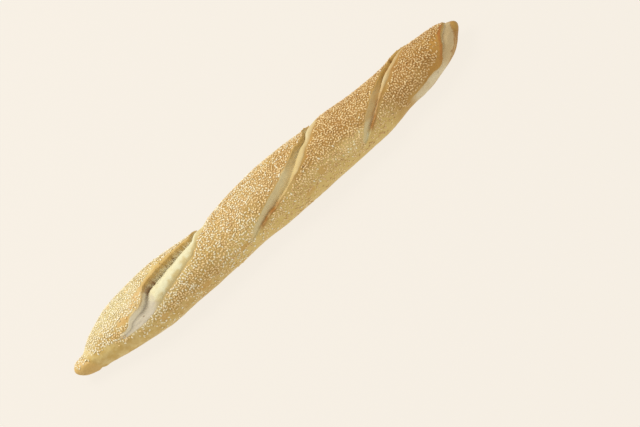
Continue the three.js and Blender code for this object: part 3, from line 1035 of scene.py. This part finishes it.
def make_threads(random):
    """Torn threads of dough along the top of the ridge that pushed out of the wide cut."""
    x = random.uniform(*THREAD_SPAN, THREAD_COUNT)
    here = cut_at(WIDE_CUT, x)
    place = here["valley"] + random.uniform(-0.5, 0.05, THREAD_COUNT)
    angle = here["angle"] + np.degrees(place * here["half_width"] / girth_radius(x))
    starts = surface(x, angle) - (0, 0, 0.3)
    ways = np.stack([
        random.uniform(-0.9, 0.4, THREAD_COUNT),
        random.uniform(0.3, 1.0, THREAD_COUNT),
        random.uniform(0.2, 0.9, THREAD_COUNT),
    ], axis=-1)
    bends = 0.5 * random.normal(0, 1, (THREAD_COUNT, 3))
    lengths = random.uniform(1.2, 4.2, THREAD_COUNT)
    widths = random.uniform(0.14, 0.3, THREAD_COUNT)
    return mesh_object("dough_threads", *thread_tubes(starts, unit(ways), bends, lengths, widths))


# ---------------------------------------------------------------- materials


class Nodes:
    """Short names for building one material's nodes."""

    def __init__(self, name):
        self.material = bpy.data.materials.new(name)
        self.material.use_nodes = True
        self.tree = self.material.node_tree
        self.shader = self.tree.nodes["Principled BSDF"]
        self.place = self.add("ShaderNodeTexCoord").outputs["Object"]

    def add(self, kind, **settings):
        node = self.tree.nodes.new(kind)
        for key, value in settings.items():
            setattr(node, key, value)
        return node

    def link(self, source, target):
        self.tree.links.new(source, target)

    def feed(self, value, socket):
        """Sets a socket to a plain value, or links it to another node's output."""
        if isinstance(value, (int, float, tuple)):
            socket.default_value = value
        else:
            self.link(value, socket)

    def share(self, name):
        return self.add("ShaderNodeAttribute", attribute_name=name).outputs["Fac"]

    def texture(self, scale, detail=4.0, roughness=0.55):
        node = self.add("ShaderNodeTexNoise")
        self.link(self.place, node.inputs["Vector"])
        node.inputs["Scale"].default_value = scale
        node.inputs["Detail"].default_value = detail
        node.inputs["Roughness"].default_value = roughness
        return node.outputs["Fac"]

    def ramp(self, factor, low, high, start=0.0, end=1.0):
        node = self.add("ShaderNodeMapRange", interpolation_type="SMOOTHSTEP")
        for socket, value in zip(node.inputs, (factor, low, high, start, end)):
            self.feed(value, socket)
        return node.outputs["Result"]

    def times(self, a, b):
        node = self.add("ShaderNodeMath", operation="MULTIPLY", use_clamp=True)
        self.feed(a, node.inputs[0])
        self.feed(b, node.inputs[1])
        return node.outputs[0]

    def blend(self, factor, under, over):
        node = self.add("ShaderNodeMix", data_type="RGBA")
        self.feed(factor, node.inputs["Factor"])
        self.feed(under, node.inputs[6])
        self.feed(over, node.inputs[7])
        return node.outputs[2]

    def tint(self, under, name, strength, over):
        """Blends a colour in by a named share, at no more than a strength."""
        return self.blend(self.times(self.share(name), strength), under, over)

    def bump(self, height, strength, distance):
        node = self.add("ShaderNodeBump")
        node.inputs["Strength"].default_value = strength
        node.inputs["Distance"].default_value = distance
        self.link(height, node.inputs["Height"])
        self.link(node.outputs["Normal"], self.shader.inputs["Normal"])


def between_colour(n, toast):
    """Colour of the crust that shows between the seeds."""
    between = n.blend(toast, BETWEEN_SEEDS, BETWEEN_TOASTED)
    between = n.tint(between, "pale_top", 0.9, PALE_BETWEEN)
    between = n.tint(between, "low_side", 0.75, LOW_GOLD)
    # painted light beside the wide cut's near lip, and the pale patch below the next cut
    return n.tint(between, "painted_lip_light_and_pale_patch", 0.6, GOLDEN_PALE)


def crust_colour(n, toast, patch, fine):
    """Colour of the crust, from its palest places to the brown edge of the right cap."""
    slow = n.texture(45.0, 3.0)
    pale = n.blend(n.ramp(patch, 0.35, 0.68), GOLDEN, GOLDEN_PALE)
    baked = n.blend(n.ramp(slow, 0.38, 0.68), TOASTED, TOASTED_DEEP)
    crust = n.blend(toast, pale, baked)
    crust = n.tint(crust, "low_side", 0.6, LOW_GOLD)
    crust = n.tint(crust, "pale_top", 0.8, PALE_TOP)
    # painted light beside the wide cut's near lip, and the pale patch below the next cut
    crust = n.tint(crust, "painted_lip_light_and_pale_patch", 0.6, GOLDEN_PALE)
    crust = n.tint(crust, "smooth", n.ramp(fine, 0.3, 0.6, 0.3, 0.7), SMOOTH_GOLD)
    crust = n.tint(crust, "nose", 0.8, NOSE)
    between = between_colour(n, toast)
    crust = n.tint(crust, "seeded", n.ramp(fine, 0.3, 0.6, 0.35, 0.8), between)
    crust = n.tint(crust, "glossy", n.ramp(patch, 0.3, 0.6, 0.6, 0.95), CAP_GOLD)
    crust = n.tint(crust, "cap_edge", n.ramp(patch, 0.3, 0.6, 0.7, 1.0), CAP_BROWN)
    return n.tint(crust, "below", 0.7, UNDERSIDE)


def dough_colour(n, toast, patch, fine):
    """Colour of the dough and crumb that show in the cuts."""
    wall = n.blend(n.share("near_wall"), SLOPE, RIDGE)
    wall = n.tint(wall, "golden", 0.75, RIDGE_GOLD)
    baked_wall = n.blend(n.share("near_wall"), SLOPE_BAKED, RIDGE_BAKED)
    dough = n.blend(n.ramp(toast, 0.5, 0.95), wall, baked_wall)
    dough = n.blend(n.ramp(patch, 0.45, 0.75, 0.0, 0.22), dough, GOLDEN)
    torn_crumb = n.blend(n.ramp(fine, 0.44, 0.66), CRUMB, CRUMB_DARK)
    dough = n.blend(n.share("crumb"), dough, torn_crumb)
    pale_end = n.blend(n.ramp(patch, 0.35, 0.7, 0.0, 0.4), PALE_END, PALE_END_TAN)
    pale_end = n.tint(pale_end, "tan_end", 0.75, PALE_END_TAN)
    pale_end = n.blend(n.share("end_edge"), END_BROWN, pale_end)
    return n.blend(n.share("pale_end"), dough, pale_end)


def crust_material():
    n = Nodes("loaf_crust")
    patch = n.texture(120.0, 4.0)
    fine = n.texture(420.0, 4.0, 0.65)
    grain = n.texture(1100.0, 3.0)
    less_toasted = n.ramp(n.share("low_side"), 0.0, 1.0, 1.0, 0.25)
    toast = n.times(n.share("toast"), less_toasted)
    crust = crust_colour(n, toast, patch, fine)
    colour = n.blend(n.share("bare"), crust, dough_colour(n, toast, patch, fine))
    colour = n.tint(colour, "browned", n.ramp(patch, 0.3, 0.55, 0.5, 1.0), LIP_BROWN)
    # Painted light: paler flour on the far wall of the wide cut, where it lies in shade
    flour = n.blend(n.share("flour_wall_painted_light"), FLOUR, FLOUR_PAINTED_LIGHT)
    colour = n.tint(colour, "flour", n.ramp(fine, 0.25, 0.5, 0.6, 1.0), flour)
    colour = n.tint(colour, "rim", n.ramp(patch, 0.3, 0.62, 0.6, 1.0), RIM)
    colour = n.tint(colour, "orange", 0.8, MARK_ORANGE)
    colour = n.blend(n.share("dark"), colour, MARK_DARK)
    specks = n.ramp(n.texture(230.0, 2.0, 0.4), 0.76, 0.8)
    colour = n.blend(n.times(specks, 0.6), colour, MARK_DARK)
    colour = n.blend(n.ramp(grain, 0.4, 0.75, 0.0, 0.15), colour, TOASTED_DEEP)
    n.link(colour, n.shader.inputs["Base Color"])
    n.link(n.ramp(n.share("bare"), 0.0, 1.0, 0.48, 0.8), n.shader.inputs["Roughness"])
    n.shader.inputs["Specular IOR Level"].default_value = 0.35
    n.bump(grain, 0.3, 0.0005)
    return n.material


def seed_material(name, pale, deep):
    n = Nodes(name)
    mottle = n.texture(700.0, 2.0)
    colour = n.blend(n.share("tone"), pale, deep)
    colour = n.blend(n.ramp(mottle, 0.4, 0.75, 0.0, 0.4), colour, deep)
    n.link(colour, n.shader.inputs["Base Color"])
    n.shader.inputs["Roughness"].default_value = 0.45
    n.shader.inputs["Specular IOR Level"].default_value = 0.4
    n.bump(mottle, 0.2, 0.0003)
    return n.material


def thread_material():
    n = Nodes("dough_threads")
    colour = n.blend(n.texture(900.0, 2.0), THREAD, RIDGE)
    n.link(colour, n.shader.inputs["Base Color"])
    n.shader.inputs["Roughness"].default_value = 0.8
    return n.material


# ---------------------------------------------------------------- the studio


def make_floor():
    half = FLOOR_HALF
    corners = np.array([(-half, -half, 0), (half, -half, 0), (half, half, 0), (-half, half, 0)])
    floor = mesh_object("studio_floor", corners, np.array([[0, 1, 2, 3]]), False)
    n = Nodes("studio_floor")
    glow = n.add("ShaderNodeEmission")
    glow.inputs["Color"].default_value = FLOOR_GLOW
    glow.inputs["Strength"].default_value = FLOOR_STRENGTH
    n.shader.inputs["Base Color"].default_value = FLOOR_COLOUR
    n.shader.inputs["Roughness"].default_value = 0.9
    n.shader.inputs["Specular IOR Level"].default_value = 0.0
    both = n.add("ShaderNodeAddShader")
    n.link(n.shader.outputs[0], both.inputs[0])
    n.link(glow.outputs[0], both.inputs[1])
    n.link(both.outputs[0], n.tree.nodes["Material Output"].inputs["Surface"])
    floor.data.materials.append(n.material)


def make_world():
    world = bpy.data.worlds.new("studio")
    world.use_nodes = True
    sky = world.node_tree.nodes["Background"]
    sky.inputs["Color"].default_value = SKY_COLOUR
    sky.inputs["Strength"].default_value = SKY_STRENGTH
    bpy.context.scene.world = world


def make_light(name, place, width, power, colour):
    data = bpy.data.lights.new(name, "AREA")
    data.shape = "SQUARE"
    data.size = width
    data.energy = power
    data.color = colour
    light = bpy.data.objects.new(name, data)
    light.location = place
    light.rotation_euler = (-Vector(place)).to_track_quat("-Z", "Y").to_euler()
    bpy.context.scene.collection.objects.link(light)


def make_camera(shift_y):
    """A camera at the photograph's angle, rolled so that the loaf slants as it does there."""
    slant = math.radians(LOAF_SLANT)
    drop = math.radians(CAMERA_DROP)
    ahead = Vector((0, math.cos(drop), -math.sin(drop)))
    level_up = Vector((0, math.sin(drop), math.cos(drop)))
    level_right = Vector((1, 0, 0))
    right = level_right * math.cos(slant) - level_up * math.sin(slant)
    up = level_right * math.sin(slant) + level_up * math.cos(slant)
    pixels = (PHOTO_CENTRE[0] - LOAF_CENTRE[0], LOAF_CENTRE[1] - PHOTO_CENTRE[1])
    middle = Vector((0, shift_y, LOAF_MIDDLE_HEIGHT))
    target = middle + (right * pixels[0] + up * pixels[1]) * MM_PER_PIXEL
    place = (target - ahead * CAMERA_DISTANCE) * MM
    data = bpy.data.cameras.new("camera")
    data.sensor_width = SENSOR_WIDTH
    data.lens = SENSOR_WIDTH * CAMERA_DISTANCE / (PHOTO_WIDTH * MM_PER_PIXEL)
    data.clip_end = 50
    camera = bpy.data.objects.new("camera", data)
    turn = Matrix((right, up, -ahead)).transposed().to_4x4()
    camera.matrix_world = Matrix.Translation(place) @ turn
    bpy.context.scene.collection.objects.link(camera)
    bpy.context.scene.camera = camera


# ---------------------------------------------------------------- the loaf put together


def settle(crust, pieces):
    """Moves the pieces so that the crust lies where the solid lies. Returns the shift."""
    low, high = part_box("loaf")
    points = np.empty(len(crust.data.vertices) * 3, np.float32)
    crust.data.vertices.foreach_get("co", points)
    points = points.reshape(-1, 3)
    middle = (points.min(axis=0) + points.max(axis=0)) / 2
    shift = Vector(((low.x + high.x) / 2 - middle[0], (low.y + high.y) / 2 - middle[1], 0))
    for piece in [crust, *pieces]:
        piece.data.transform(Matrix.Translation(shift))
    return shift


random = np.random.default_rng(RANDOM_SEED)
crust = make_crust()
crust.data.materials.append(crust_material())
seeds = make_seeds(random)
for piece in seeds:
    piece.data.materials.append(seed_material(piece.name, *SEED_COLOURS[piece.name]))
threads = make_threads(random)
threads.data.materials.append(thread_material())
shift = settle(crust, [*seeds, threads])
for piece in [crust, *seeds, threads]:
    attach(piece, "root")
    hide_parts("loaf")

make_floor()
make_world()
for light in LIGHTS:
    make_light(*light)
make_camera(shift.y / MM)
bpy.context.scene.view_settings.view_transform = "Standard"
